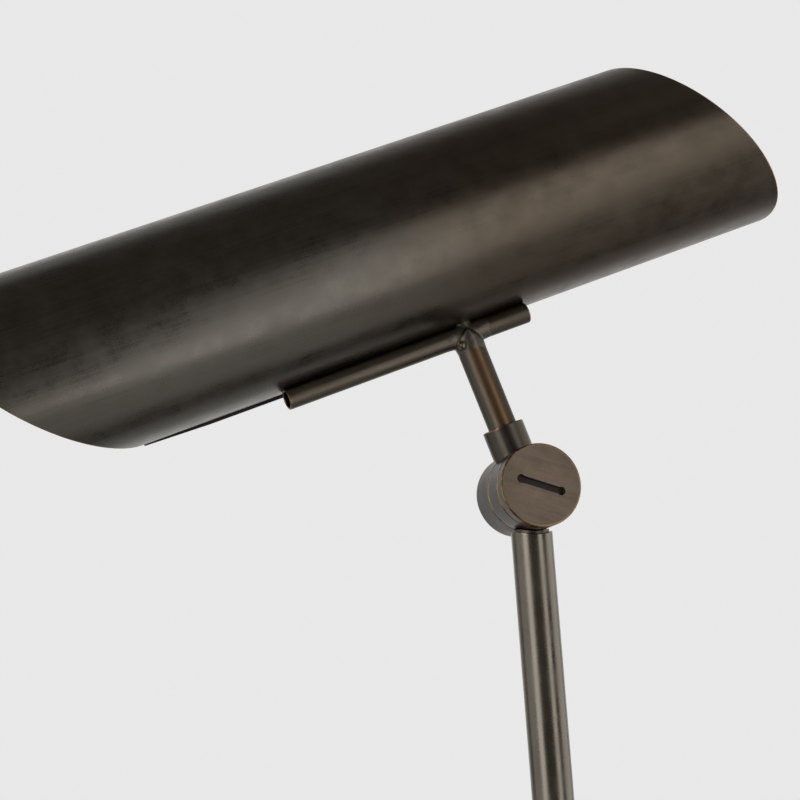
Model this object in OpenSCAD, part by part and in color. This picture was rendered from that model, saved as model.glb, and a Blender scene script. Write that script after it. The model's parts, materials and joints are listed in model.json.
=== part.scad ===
// Floor lamp with a trough shade: weighted base, post, leaning arm, two slotted friction knuckles,
// and a shade that tilts with its stem and swivels in its collar.
// Millimetres, +Z up. The origin is the middle of the felt, on the floor.
// The slotted faces of the knuckles look towards -Y. The shade opens towards +Y.

/* [Posture] */
// Lean of the arm from the vertical, in degrees
arm_lean = 4.25; // [-20:0.25:20]
// Tilt of the stem from the vertical, in degrees
stem_tilt = 22.6; // [0:0.1:40]

/* [Shade] */
// Outer diameter of the shade
shade_d = 87.8; // [76:0.2:100]
// Wall of the shade's sheet
shade_wall = 1; // [0.8:0.1:1.6]
// Length of the shade's ridge to the left of the bar's middle
left_len = 191; // [175:1:205]
// Length of the shade's ridge to the right of the bar's middle
right_len = 169; // [160:1:185]
// How far the left end draws in for each millimetre behind the ridge
left_mitre = 0.92; // [0.6:0.02:1]
// How far the right end draws in for each millimetre behind the ridge
right_mitre = 0.12; // [0:0.02:0.4]
// How far both ends lean to the left for each millimetre upwards
end_rake = 0.567; // [0.4:0.001:0.7]
// How far the sheet wraps behind its axis
wrap_past = 7; // [2:0.5:12]
// Distance from the stem to the middle of the shade and of the bar
shade_shift = 28.2; // [20:0.2:36]
// How far the shade's axis lies behind the stem
shade_back = 6.7; // [2:0.1:9]
// Diameter of the rolled bead on the lower edge, outside the bar
bead_d = 2.6; // [1.6:0.1:3]
// How far the bead runs in behind the bar
bead_lap = 10; // [4:1:30]

/* [Cross bar] */
// Outer diameter of the bar
bar_d = 9.2; // [8:0.1:12]
// Wall of the bar
bar_wall = 1; // [0.8:0.1:1.4]
// Length of the bar
bar_len = 117; // [100:1:140]
// Depth of the seat that beds the bar against the shade
bar_bed = 0.5; // [0.3:0.1:0.9]

/* [Stem] */
// Outer diameter of the stem
stem_d = 12.7; // [11:0.1:14]
// Wall of the stem
stem_wall = 1.2; // [1:0.1:1.6]
// Distance from the tilt axis to the bar's axis
stem_reach = 73.5; // [66:0.5:90]
// Width of the braze around the joint of stem and bar
braze_w = 1.6; // [1:0.1:2.4]
// Height of that braze along the stem
braze_h = 4; // [3:0.5:6]

/* [Knuckles] */
// Diameter of the knuckle discs
disc_d = 36.4; // [34:0.2:42]
// Thickness of the slotted cap
cap_t = 5.6; // [5:0.1:8]
// Thickness of the disc that tilts
tilt_t = 12.1; // [11.6:0.1:14]
// Thickness of the disc that stays
fixed_t = 16; // [14:0.5:20]
// Thickness of each friction washer
washer_t = 0.5; // [0.4:0.1:1]
// How far the tilting disc reaches behind the tubes' middle plane
parting = 0.8; // [0.2:0.1:1.5]
// Chamfer on the discs' rims
rim_edge = 0.5; // [0.2:0.1:0.9]
// Diameter of the clamp screw's shank
screw_d = 8; // [6:0.5:9]
// Wall left behind the end of the clamp screw
screw_stop = 3; // [2:0.5:5]
// Length of the coin slot
slot_len = 22.4; // [16:0.2:26]
// Width of the coin slot
slot_w = 3.1; // [2:0.1:3.6]
// Diameter of the slot's drilled ends
slot_end_d = 3.8; // [3:0.1:5]
// Depth of the coin slot
slot_depth = 3; // [1.5:0.5:4]
// Turn of the coin slot below the level, in degrees
slot_turn = 14.5; // [-90:0.5:90]
// Gap between a tube's coped end and the discs
cope_gap = 1.8; // [1:0.1:3]
// Gap between a collar and the disc that stays
collar_gap = 0.4; // [0.3:0.1:0.8]
// Radial clearance of every running or seated fit
fit = 0.05; // [0.03:0.01:0.1]

/* [Head collar] */
// Outer diameter of the collar that takes the stem
collar_d = 18.4; // [17:0.1:20]
// Distance from the tilt axis to the collar's rim
collar_top = 30; // [28:0.5:36]
// Diameter of the screw that keeps the stem in the collar
grub_d = 4; // [3:0.5:5]

/* [Arm] */
// Outer diameter of the arm
arm_d = 18; // [16:0.1:20]
// Wall of the arm's tube
arm_wall = 1.3; // [1:0.1:2]
// Distance between the two tilt axes
arm_len = 480; // [380:5:600]
// Outer diameter of the collar that takes the arm
arm_collar_d = 23; // [22:0.1:26]
// Distance from the tilt axis to that collar's rim
arm_collar_top = 36; // [32:0.5:44]
// Length of the plug that closes a tube
plug_len = 12; // [8:0.5:16]

/* [Post] */
// Outer diameter of the post
post_d = 22; // [21:0.1:25]
// Wall of the post's tube
post_wall = 1.5; // [1.2:0.1:2]
// Length of the post's tube
post_len = 640; // [400:5:760]
// Diameter of the flange at the foot of the post
flange_d = 44; // [36:1:60]
// Height of that flange
flange_h = 10; // [6:0.5:14]

/* [Base] */
// Diameter of the base
base_d = 254; // [220:1:300]
// Height of the base
base_h = 22; // [20:0.5:28]
// Wall of the spun cover
cover_wall = 1.2; // [1:0.1:2]
// Rounding of the cover's edge
cover_edge = 6; // [4:0.5:8]
// Gap between the cover's rim and the floor
cover_lift = 1; // [0.5:0.1:1.8]
// Thickness of the felt
felt_t = 2; // [2:0.1:3]
// How far the felt stays inside the weight's rim
felt_inset = 3; // [1:0.5:10]
// Diameter of the threaded stud that ties base and post
stud_d = 10; // [8:0.5:12]
// Diameter of the cord's way through the stud, the plug and the inlet
cord_way_d = 6.2; // [5:0.1:6.5]
// Diameter of the washer under the weight
base_washer_d = 26; // [22:1:30]
// Width of the nut under the weight, across its flats
base_nut_w = 17; // [15:0.5:20]
// Height of that nut
base_nut_h = 4.6; // [4:0.2:5]

/* [Switch] */
// Diameter of the switch housing
housing_d = 34; // [33:0.5:40]
// Height of the switch housing
housing_h = 58; // [54:1:70]
// Wall of the switch housing
housing_wall = 2.8; // [2.4:0.1:3]
// Depth of the post's seat in the housing
post_seat = 14; // [10:0.5:20]
// Diameter of the dimmer's threaded neck
neck_d = 9; // [8:0.5:10]
// Diameter of the dimmer's shaft
shaft_d = 6; // [5:0.5:6]
// Diameter of the knob
knob_d = 18; // [15:0.5:22]
// Length of the knob
knob_len = 14; // [12:0.5:18]
// Number of grip flutes on the knob
knob_flutes = 18; // [8:1:24]

/* [Lamp] */
// Diameter of the tubular bulb
bulb_d = 32; // [28:0.5:34]
// Length of the bulb's glass
glass_len = 118; // [90:1:125]
// Diameter of the bulb's metal cap
bulb_cap_d = 25.4; // [24:0.1:26]
// Length of the bulb's metal cap
bulb_cap_len = 24; // [20:0.5:26]
// Outer diameter of the lampholder
socket_d = 34; // [33:0.5:36]
// Length of the lampholder
socket_len = 48; // [44:0.5:52]
// Diameter of the insulated lead inside the arm and the stem
lead_d = 6; // [5:0.1:6.4]

/* [Hidden] */
$fn = 96;
over = 1; // cuts run this far past the faces that they open
slack = 0.4; // gap left where two pieces only pass each other

aged_bronze = "#33291f";
worn_bronze = "#5d4e40";
bare_brass = "#a8814c";

// Faces of a knuckle, from its slotted front to its back
tilt_back = parting;
tilt_front = tilt_back - tilt_t;
cap_back = tilt_front - washer_t;
cap_front = cap_back - cap_t;
fixed_front = tilt_back + washer_t;
fixed_back = fixed_front + fixed_t;
disc_r = disc_d / 2;
screw_r = screw_d / 2;
screw_end = fixed_back - screw_stop;
lead_r = lead_d / 2;

// Around the clamp screw both discs are hollow, so that the lead can loop from tube to tube
chamber_r = screw_r + lead_d + slack;
chamber_h = (lead_d + 2 * slack - washer_t) / 2;

// Ends of the tubes at a knuckle
collar_floor_t = 1;
plug_step = 0.7;
bore_floor = disc_r + collar_gap + collar_floor_t;
cope_r = disc_r + cope_gap;
plug_drop = cope_r + plug_step;

// Heights on the base and the post
base_r = base_d / 2;
weight_r = base_r - cover_edge;
weight_top = base_h - cover_wall;
base_washer_t = 1.6;
stud_end = 0.4;
recess_h = base_nut_h + base_washer_t + 2 * stud_end;
recess_rim = 2;
inlet_z = felt_t + cord_way_d;
inlet_wall = 2;
post_top = base_h + post_len;
post_in_r = post_d / 2 - post_wall;
post_plug_len = 36;
post_ledge = 2;
housing_z = post_top - post_seat;
housing_top = housing_z + housing_h;
housing_in_r = housing_d / 2 - housing_wall;
housing_ledge = 2.2;
housing_plug_r = housing_in_r - housing_ledge;
web_t = 2;
knob_z = (post_top + web_t + housing_top - plug_len) / 2;
lower_z = housing_top + plug_drop;

// The dimmer, along Y from the housing's flat
flat_depth = 1.2;
flat_rim = 4.5;
seat_y = flat_depth - housing_d / 2;
switch_nut_t = 2.5;
switch_nut_rim = 2.2;
switch_w = 15;
switch_h = 20;
switch_back = 3;
switch_front = -sqrt(pow(housing_in_r - slack / 2, 2) - pow(switch_w / 2, 2));
neck_out = 3.5;
neck_end = seat_y - switch_nut_t - neck_out;
knob_back = seat_y - switch_nut_t - 2 * slack;
knob_front = knob_back - knob_len;
knob_pocket = neck_end - slack;
knob_edge = 1;
knob_face_t = 3;
shaft_end = knob_front + knob_face_t;
shaft_back = -1;
knob_grub_r = 1.5;
knob_grub_y = (shaft_end + knob_pocket) / 2;

// The head, in the stem's own frame
bar_r = bar_d / 2;
shade_r = shade_d / 2;
axis_drop = sqrt(pow(shade_r + bar_r - bar_bed, 2) - pow(shade_back, 2));
axis_z = stem_reach + axis_drop;
bar_left = -shade_shift - bar_len / 2;
ridge_len = left_len + right_len;
grub_z = collar_top - grub_d;
arm_grub_z = arm_collar_top - grub_d;
grub_sink = 0.3;
bushing_len = 8;
grommet_wall = 1;
grommet_lip = 1.2;
grommet_t = 2;

// The lamp, along X inside the shade
socket_mouth = glass_len / 2 - shade_shift;
socket_end = socket_mouth + socket_len;
socket_wall = 3.2;
contact_r = socket_d / 2 - socket_wall;
contact_end_t = 2;
contact_len = bulb_cap_len + over + contact_end_t;
bracket_t = 2;
bracket_foot_w = 12;
bracket_plate_w = 26;
bracket_top = 14;
nipple_d = 9.6;
nipple_wall = 1.5;
nipple_len = 17;
socket_nut_rim = 2.5;
socket_nut_h = 4;
lead_turn = 8;
lead_clear = 7;
lead_rise = axis_z - socket_d / 2 - lead_r - lead_clear;
lead_entry = socket_end - lead_turn;
lead_in = 8;

module along_y(r, from, to) {
    translate([0, from, 0]) rotate([-90, 0, 0]) cylinder(r = r, h = to - from);
}

module along_x(r, from, to) {
    translate([from, 0, 0]) rotate([0, 90, 0]) cylinder(r = r, h = to - from);
}

// A disc on the Y axis with a chamfer on both rims
module rim_disc(r, from, to, edge) {
    outline = [[0, from], [r - edge, from], [r, from + edge], [r, to - edge], [r - edge, to], [0, to]];
    rotate([-90, 0, 0]) rotate_extrude() polygon(outline);
}

module ring(r_out, r_in, h) {
    difference() {
        cylinder(r = r_out, h = h);
        translate([0, 0, -over]) cylinder(r = r_in, h = h + 2 * over);
    }
}

// A round plate whose upper edge is rounded
module round_plate(r, h, edge) {
    cylinder(r = r, h = h - edge);
    cylinder(r = r - edge, h = h);
    translate([0, 0, h - edge]) rotate_extrude() translate([r - edge, 0]) circle(r = edge);
}

module hex_nut(w, bore_r, h) {
    difference() {
        cylinder(d = w / cos(30), h = h, $fn = 6);
        translate([0, 0, -over]) cylinder(r = bore_r, h = h + 2 * over);
    }
}

// Frames that the posture places
module at_lower() {
    translate([0, 0, lower_z]) children();
}

module in_arm() {
    at_lower() rotate([0, -arm_lean, 0]) children();
}

module in_arm_end() {
    in_arm() translate([0, 0, arm_len]) children();
}

module at_upper() {
    in_arm_end() rotate([0, arm_lean, 0]) children();
}

module in_stem() {
    at_upper() rotate([0, -stem_tilt, 0]) children();
}

module in_shade() {
    in_stem() translate([-shade_shift, shade_back, axis_z]) children();
}

module in_lamp() {
    in_stem() translate([0, 0, axis_z]) children();
}

// The knuckle's four kinds of piece, around the tilt axis
module fixed_disc(plug_r, neck_r) {
    neck_h = plug_drop + over;
    difference() {
        union() {
            rim_disc(disc_r, fixed_front, fixed_back, rim_edge);
            difference() {
                translate([0, 0, -neck_h]) cylinder(r = neck_r, h = neck_h);
                along_y(disc_r + collar_gap, -neck_r - over, fixed_front);
            }
            translate([0, 0, -plug_drop - plug_len]) cylinder(r = plug_r, h = plug_len);
        }
        along_y(screw_r + fit, fixed_front - over, screw_end + fit);
        along_y(chamber_r, fixed_front - over, fixed_front + chamber_h);
        translate([0, 0, -plug_drop - plug_len - over])
            cylinder(r = lead_r + fit, h = plug_drop + plug_len + over - chamber_r + lead_r);
    }
}

module tilt_disc(outer_d, top, tube_d) {
    difference() {
        union() {
            rim_disc(disc_r, tilt_front, tilt_back, rim_edge);
            difference() {
                cylinder(d = outer_d, h = top);
                along_y(disc_r + collar_gap, tilt_back, outer_d);
                along_y(disc_r + collar_gap, -outer_d, tilt_front);
            }
        }
        translate([0, 0, bore_floor]) cylinder(r = tube_d / 2 + fit, h = top);
        translate([0, 0, chamber_r - lead_r]) cylinder(r = lead_r + fit, h = top);
        along_y(screw_r + fit, tilt_front - over, tilt_back + over);
        along_y(chamber_r, tilt_back - chamber_h, tilt_back + over);
    }
}

module clamp_screw() {
    reach = (slot_len - slot_end_d) / 2;
    slot_floor = cap_front + slot_depth;
    difference() {
        union() {
            rim_disc(disc_r, cap_front, cap_back, rim_edge);
            along_y(screw_r, cap_back - over, screw_end);
        }
        rotate([0, slot_turn, 0]) {
            translate([-reach, cap_front - over, -slot_w / 2]) cube([2 * reach, slot_depth + over, slot_w]);
            for (side = [-1, 1]) {
                translate([side * reach, 0, 0]) along_y(slot_end_d / 2, cap_front - over, slot_floor);
            }
        }
    }
}

module washer(from, bore_r) {
    difference() {
        along_y(disc_r - rim_edge, from, from + washer_t);
        along_y(bore_r, from - over, from + washer_t + over);
    }
}

module washers() {
    washer(cap_back, screw_r + fit);
    washer(tilt_back, chamber_r);
}

// Base
module base_felt() {
    color("#2b2b2a") cylinder(r = weight_r - felt_inset, h = felt_t);
}

module base_weight() {
    groove_w = cord_way_d + 2 * inlet_wall;
    color("#3c3c3b") difference() {
        translate([0, 0, felt_t]) cylinder(r = weight_r, h = weight_top - felt_t);
        translate([0, 0, felt_t - over]) cylinder(r = base_washer_d / 2 + recess_rim, h = recess_h + over);
        translate([0, 0, felt_t]) cylinder(r = stud_d / 2 + fit, h = base_h);
        translate([-groove_w / 2, 0, felt_t - over]) cube([groove_w, base_r, groove_w + over]);
    }
}

module base_cover() {
    color(aged_bronze) difference() {
        translate([0, 0, cover_lift]) round_plate(base_r, base_h - cover_lift, cover_edge);
        translate([0, 0, -over]) round_plate(base_r - cover_wall, weight_top + over, cover_edge - cover_wall);
        cylinder(r = stud_d / 2 + fit, h = base_h + over);
        translate([0, 0, inlet_z]) along_y(cord_way_d / 2 + inlet_wall + fit, weight_r, base_r + over);
    }
}

module base_stud() {
    bottom = felt_t + stud_end;
    color(bare_brass) translate([0, 0, bottom])
        ring(stud_d / 2, cord_way_d / 2, base_h + post_plug_len - post_ledge - bottom);
}

module base_washer() {
    color("silver") translate([0, 0, felt_t + recess_h - base_washer_t])
        ring(base_washer_d / 2, stud_d / 2 + fit, base_washer_t);
}

module base_nut() {
    color("silver") translate([0, 0, felt_t + recess_h - base_washer_t - base_nut_h])
        hex_nut(base_nut_w, stud_d / 2 + fit, base_nut_h);
}

// The supply cord's way in, through the rim of the cover
module cord_bushing() {
    way_r = cord_way_d / 2;
    lip = 1.2;
    lip_t = 1.6;
    color("#1c1c1c") translate([0, 0, inlet_z]) difference() {
        union() {
            along_y(way_r + inlet_wall, weight_r + slack, base_r + lip_t);
            along_y(way_r + inlet_wall + lip, base_r + fit, base_r + lip_t);
        }
        along_y(way_r, weight_r, base_r + lip_t + over);
    }
}

module post_flange() {
    step = 2;
    color(aged_bronze) translate([0, 0, base_h]) difference() {
        union() {
            cylinder(d = flange_d, h = flange_h / 2);
            cylinder(d1 = flange_d - step, d2 = post_d + 2 * step, h = flange_h);
        }
        translate([0, 0, -over]) cylinder(r = post_d / 2 + fit, h = flange_h + 2 * over);
    }
}

module post_plug() {
    color(bare_brass) translate([0, 0, base_h]) ring(post_in_r - fit, stud_d / 2 + fit, post_plug_len);
}

module post_tube() {
    color(aged_bronze) translate([0, 0, base_h]) ring(post_d / 2, post_in_r, post_len);
}

// Switch
module switch_housing() {
    room_h = housing_h - post_seat - web_t - plug_len;
    color(aged_bronze) difference() {
        translate([0, 0, housing_z]) cylinder(d = housing_d, h = housing_h);
        translate([0, 0, housing_z - over]) cylinder(r = post_d / 2 + fit, h = post_seat + over);
        translate([0, 0, housing_z]) cylinder(r = post_in_r - post_ledge, h = housing_h - plug_len);
        translate([0, 0, post_top + web_t]) cylinder(r = housing_in_r, h = room_h);
        translate([0, 0, housing_top - plug_len - over])
            cylinder(r = housing_plug_r + fit, h = plug_len + 2 * over);
        translate([0, 0, knob_z]) along_y(neck_d / 2 + fit, -housing_d, 0);
        translate([0, 0, knob_z]) along_y(neck_d / 2 + flat_rim, -housing_d, seat_y);
    }
}

module switch_body() {
    color("#23211f") translate([0, 0, knob_z]) difference() {
        union() {
            translate([-switch_w / 2, switch_front, -switch_h / 2])
                cube([switch_w, switch_back - switch_front, switch_h]);
            along_y(neck_d / 2, neck_end, switch_front + over);
        }
        along_y(shaft_d / 2 + fit, neck_end - over, shaft_back + fit);
    }
}

module switch_nut() {
    color(bare_brass) translate([0, seat_y, knob_z]) rotate([90, 0, 0])
        hex_nut(neck_d + 2 * switch_nut_rim, neck_d / 2 + fit, switch_nut_t);
}

module dimmer_shaft() {
    color("silver") translate([0, 0, knob_z]) along_y(shaft_d / 2, shaft_end, shaft_back);
}

module dimmer_knob() {
    flute_r = 0.8;
    knob_r = knob_d / 2;
    color(worn_bronze) translate([0, 0, knob_z]) difference() {
        rim_disc(knob_r, knob_front, knob_back, knob_edge);
        along_y(neck_d / 2 + knob_edge, knob_pocket, knob_back + over);
        along_y(shaft_d / 2 + fit, shaft_end - fit, knob_back);
        translate([0, knob_grub_y, 0]) cylinder(r = knob_grub_r + fit, h = knob_d);
        for (flute = [1 : knob_flutes]) {
            rotate([0, (flute - 0.5) * 360 / knob_flutes, 0]) translate([knob_r + flute_r / 2, 0, 0])
                along_y(flute_r, knob_front + knob_face_t, knob_back + over);
        }
    }
}

module knob_set_screw() {
    color("silver") translate([0, knob_grub_y, knob_z + shaft_d / 2 + fit])
        cylinder(r = knob_grub_r, h = (knob_d - shaft_d) / 2 - knob_edge);
}

// Lower knuckle
module lower_fixed_disc() {
    color(worn_bronze) at_lower() fixed_disc(housing_plug_r, post_in_r);
}

module lower_clamp_screw() {
    color(worn_bronze) at_lower() clamp_screw();
}

module lower_washers() {
    color(bare_brass) at_lower() washers();
}

module lower_tilt_disc() {
    color(worn_bronze) in_arm() difference() {
        tilt_disc(arm_collar_d, arm_collar_top, arm_d);
        translate([0, 0, arm_grub_z]) along_y(grub_d / 2 + fit, 0, arm_collar_d);
    }
}

// Arm
module arm_tube() {
    color(aged_bronze) in_arm() difference() {
        translate([0, 0, bore_floor]) ring(arm_d / 2, arm_d / 2 - arm_wall, arm_len - bore_floor);
        translate([0, 0, arm_len]) along_y(cope_r, -arm_d, arm_d);
    }
}

module arm_set_screw() {
    color("#3a3a3a") in_arm() translate([0, 0, arm_grub_z])
        along_y(grub_d / 2, arm_d / 2 + fit, arm_collar_d / 2 - grub_sink);
}

module arm_lead() {
    color("#b59a5e") in_arm() translate([0, 0, bore_floor + over])
        cylinder(r = lead_r, h = arm_len - plug_drop - bore_floor - 2 * over);
}

// Upper knuckle
module upper_fixed_disc() {
    plug_r = arm_d / 2 - arm_wall - fit;
    color(worn_bronze) in_arm_end() fixed_disc(plug_r, plug_r);
}

module upper_clamp_screw() {
    color(worn_bronze) at_upper() clamp_screw();
}

module upper_washers() {
    color(bare_brass) at_upper() washers();
}

module upper_tilt_disc() {
    color(worn_bronze) in_stem() difference() {
        tilt_disc(collar_d, collar_top, stem_d);
        translate([0, 0, grub_z]) along_y(grub_d / 2 + fit, 0, collar_d);
    }
}

module swivel_screw() {
    color("#3a3a3a") in_stem() translate([0, 0, grub_z])
        along_y(grub_d / 2, stem_d / 2 + fit, collar_d / 2 - grub_sink);
}

// Stem and bar
module stem_tube() {
    start = bore_floor + fit;
    color(aged_bronze) in_stem() difference() {
        translate([0, 0, start]) ring(stem_d / 2, stem_d / 2 - stem_wall, stem_reach - start);
        translate([0, 0, stem_reach]) along_x(bar_r + fit, -stem_d, stem_d);
    }
}

module stem_bushing() {
    color("#e4e0d6") in_stem() translate([0, 0, bore_floor + over])
        ring(stem_d / 2 - stem_wall - fit, lead_r + fit, bushing_len);
}

module cross_bar() {
    bar_right = bar_left + bar_len;
    color(aged_bronze) in_stem() difference() {
        translate([0, 0, stem_reach]) along_x(bar_r, bar_left, bar_right);
        translate([0, 0, stem_reach]) along_x(bar_r - bar_wall, bar_left - over, bar_right + over);
        translate([0, shade_back, axis_z]) along_x(shade_r + fit, bar_left - over, bar_right + over);
        translate([0, 0, stem_reach - bar_d]) cylinder(r = lead_r + fit, h = 2 * bar_d);
    }
}

module joint_braze() {
    top_z = stem_reach - bar_r / 2;
    toe = 0.4;
    color("#6b5a48") in_stem() difference() {
        translate([0, 0, top_z - braze_h])
            cylinder(r1 = stem_d / 2 + toe, r2 = stem_d / 2 + braze_w, h = braze_h);
        translate([0, 0, top_z - braze_h - over]) cylinder(r = stem_d / 2 + fit, h = braze_h + 2 * over);
        translate([0, 0, stem_reach]) along_x(bar_r + fit, -stem_d, stem_d);
    }
}

// Shade
// Everything past a raked end; side is 1 at the right and -1 at the left
module past_end(side, ridge, mitre) {
    across = side * mitre;
    translate([side * ridge, -shade_r, 0])
        rotate([0, -atan2(end_rake, norm([1, across])), atan2(across, 1)])
            translate([side < 0 ? -ridge_len : 0, -ridge_len, -ridge_len])
                cube([ridge_len, 2 * ridge_len, 2 * ridge_len]);
}

module shade() {
    bead_y = wrap_past - bead_d / 2;
    bead_z = -sqrt(pow(shade_r + bead_d / 8, 2) - pow(bead_y, 2));
    bead_end = bead_lap - bar_len / 2;
    color(aged_bronze) in_shade() difference() {
        union() {
            difference() {
                along_x(shade_r, -ridge_len, ridge_len);
                along_x(shade_r - shade_wall, -ridge_len - over, ridge_len + over);
                translate([-ridge_len - over, wrap_past, -shade_d])
                    cube([2 * (ridge_len + over), shade_d, 2 * shade_d]);
            }
            translate([0, bead_y, bead_z]) along_x(bead_d / 2, -ridge_len, bead_end);
        }
        past_end(-1, left_len, left_mitre);
        past_end(1, right_len, right_mitre);
        translate([shade_shift, -shade_back, -shade_d]) cylinder(r = lead_r + grommet_wall + fit, h = shade_d);
    }
}

// The lip rests on the sheet's inner face, which is highest under the lip's outer side
module lead_grommet() {
    lip_r = lead_r + grommet_wall + grommet_lip;
    rim_z = axis_z - sqrt(pow(shade_r - shade_wall, 2) - pow(shade_back + lip_r, 2)) + fit;
    foot_z = stem_reach + bar_r;
    color("#1c1c1c") in_stem() difference() {
        union() {
            translate([0, 0, foot_z]) cylinder(r = lead_r + grommet_wall, h = rim_z - foot_z + grommet_t);
            translate([0, 0, rim_z]) cylinder(r = lip_r, h = grommet_t);
        }
        translate([0, 0, foot_z - over]) cylinder(r = lead_r + fit, h = shade_r);
    }
}

module lead_elbow(from) {
    rotate([90, 0, 0]) rotate([0, 0, from])
        rotate_extrude(angle = 90) translate([lead_turn, 0]) circle(r = lead_r);
}

// The lead climbs the stem, turns along the shade and turns up into the lampholder
module stem_lead() {
    start = bore_floor + over;
    color("#b59a5e") in_stem() {
        translate([0, 0, start]) cylinder(r = lead_r, h = lead_rise - lead_turn - start);
        translate([lead_turn, 0, lead_rise - lead_turn]) lead_elbow(90);
        translate([0, 0, lead_rise]) along_x(lead_r, lead_turn, lead_entry - lead_turn);
        translate([lead_entry - lead_turn, 0, lead_rise + lead_turn]) lead_elbow(270);
        translate([lead_entry, 0, lead_rise + lead_turn]) cylinder(r = lead_r, h = lead_in - over);
    }
}

// Lamp
module socket_bracket() {
    foot_t = shade_wall + bracket_t + over;
    color("silver") in_stem() difference() {
        intersection() {
            translate([0, shade_back, axis_z]) along_x(shade_r - shade_wall - fit, 0, ridge_len);
            union() {
                translate([socket_mouth, shade_back - bracket_foot_w / 2, axis_z - shade_r])
                    cube([socket_len + bracket_t, bracket_foot_w, foot_t]);
                translate([socket_end, -bracket_plate_w / 2, axis_z - shade_r])
                    cube([bracket_t, bracket_plate_w, shade_r + bracket_top]);
            }
        }
        translate([0, 0, axis_z]) along_x(nipple_d / 2 + fit, socket_end - over, socket_end + nipple_len);
    }
}

module socket_nipple() {
    color(bare_brass) in_lamp() translate([socket_end - nipple_len / 2, 0, 0]) rotate([0, 90, 0])
        ring(nipple_d / 2, nipple_d / 2 - nipple_wall, nipple_len);
}

module socket_nut() {
    color(bare_brass) in_lamp() translate([socket_end + bracket_t, 0, 0]) rotate([0, 90, 0])
        hex_nut(nipple_d + 2 * socket_nut_rim, nipple_d / 2 + fit, socket_nut_h);
}

module socket_body() {
    color("#d8d2c4") in_lamp() difference() {
        along_x(socket_d / 2, socket_mouth, socket_end);
        along_x(contact_r, socket_mouth - over, socket_mouth + contact_len);
        along_x(nipple_d / 2 + fit, socket_end - nipple_len / 2 - fit, socket_end + over);
        translate([lead_entry, 0, -socket_d]) cylinder(r = lead_r + fit, h = socket_d / 2 + lead_in);
    }
}

module socket_contact() {
    color(bare_brass) in_lamp() difference() {
        along_x(contact_r - fit, socket_mouth + over, socket_mouth + contact_len);
        along_x(bulb_cap_d / 2 + fit, socket_mouth, socket_mouth + bulb_cap_len + over);
    }
}

module bulb_cap() {
    color("silver") in_lamp() along_x(bulb_cap_d / 2, socket_mouth, socket_mouth + bulb_cap_len);
}

module bulb_form(shrink) {
    neck_len = 7;
    taper_len = 10;
    r = bulb_d / 2 - shrink;
    neck_r = bulb_cap_d / 2 - slack - shrink;
    tip_x = socket_mouth - glass_len + bulb_d / 2;
    along_x(neck_r, socket_mouth - neck_len - over, socket_mouth - shrink);
    translate([socket_mouth - neck_len, 0, 0]) rotate([0, -90, 0]) cylinder(r1 = neck_r, r2 = r, h = taper_len);
    along_x(r, tip_x, socket_mouth - neck_len - taper_len);
    translate([tip_x, 0, 0]) sphere(r = r);
}

module bulb_glass() {
    glass_wall = 1;
    color("#fff4dd") in_lamp() difference() {
        bulb_form(0);
        bulb_form(glass_wall);
    }
}

base_felt();
base_weight();
base_cover();
base_stud();
base_washer();
base_nut();
cord_bushing();
post_flange();
post_plug();
post_tube();
switch_housing();
switch_body();
switch_nut();
dimmer_shaft();
dimmer_knob();
knob_set_screw();
lower_fixed_disc();
lower_clamp_screw();
lower_washers();
lower_tilt_disc();
arm_tube();
arm_set_screw();
arm_lead();
upper_fixed_disc();
upper_clamp_screw();
upper_washers();
upper_tilt_disc();
swivel_screw();
stem_tube();
stem_bushing();
stem_lead();
cross_bar();
joint_braze();
shade();
lead_grommet();
socket_bracket();
socket_nipple();
socket_nut();
socket_body();
socket_contact();
bulb_cap();
bulb_glass();
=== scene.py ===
"""Floor lamp with a trough shade in aged bronze: finishes and fine shapes on the lamp's frame.

Shapes are drawn in millimetres, each in its own frame, and placed in the lamp's frame in metres.
"""
import json
from math import asin, cos, pi, radians, sin, sqrt

import bmesh
import bpy
from mathutils import Matrix, Vector, noise


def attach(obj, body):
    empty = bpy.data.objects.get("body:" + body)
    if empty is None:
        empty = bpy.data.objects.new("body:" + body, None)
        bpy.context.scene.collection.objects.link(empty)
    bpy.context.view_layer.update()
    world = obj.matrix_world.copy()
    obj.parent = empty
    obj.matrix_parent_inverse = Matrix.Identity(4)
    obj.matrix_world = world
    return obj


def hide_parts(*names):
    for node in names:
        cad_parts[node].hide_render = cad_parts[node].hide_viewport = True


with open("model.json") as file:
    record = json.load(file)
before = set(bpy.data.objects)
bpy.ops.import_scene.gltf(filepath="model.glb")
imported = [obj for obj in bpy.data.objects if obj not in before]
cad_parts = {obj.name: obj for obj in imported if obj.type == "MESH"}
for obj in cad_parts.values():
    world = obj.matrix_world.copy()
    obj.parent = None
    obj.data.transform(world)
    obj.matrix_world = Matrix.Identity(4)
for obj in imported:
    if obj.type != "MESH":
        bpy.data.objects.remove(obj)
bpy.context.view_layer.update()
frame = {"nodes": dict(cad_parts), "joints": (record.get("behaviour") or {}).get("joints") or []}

# Units, how finely curves are drawn, and how far a rounding's neighbours stand off it
MM = 0.001
TURNS = 96
SMALL_TURNS = 32
HOLE_TURNS = 48
FLUTE_TURNS = 16
ARC_STEPS = 4
GUARD = 0.4
NEAR_HALF = 0.48
SHARP = radians(48)
TINY = 1e-4

# How far cuts run past a shape and joins run into it, and what belongs to a tube's rim
PAST = 5.0
OVER = 1.0
RIM_BAND = 2.0
FIT = 0.05

# Small roundings, and the rounding up to which a rim is worn to the brass
CRISP = 0.2
EASED = 0.3
WORN_EDGE = 0.6
WEAR = "wear"

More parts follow.
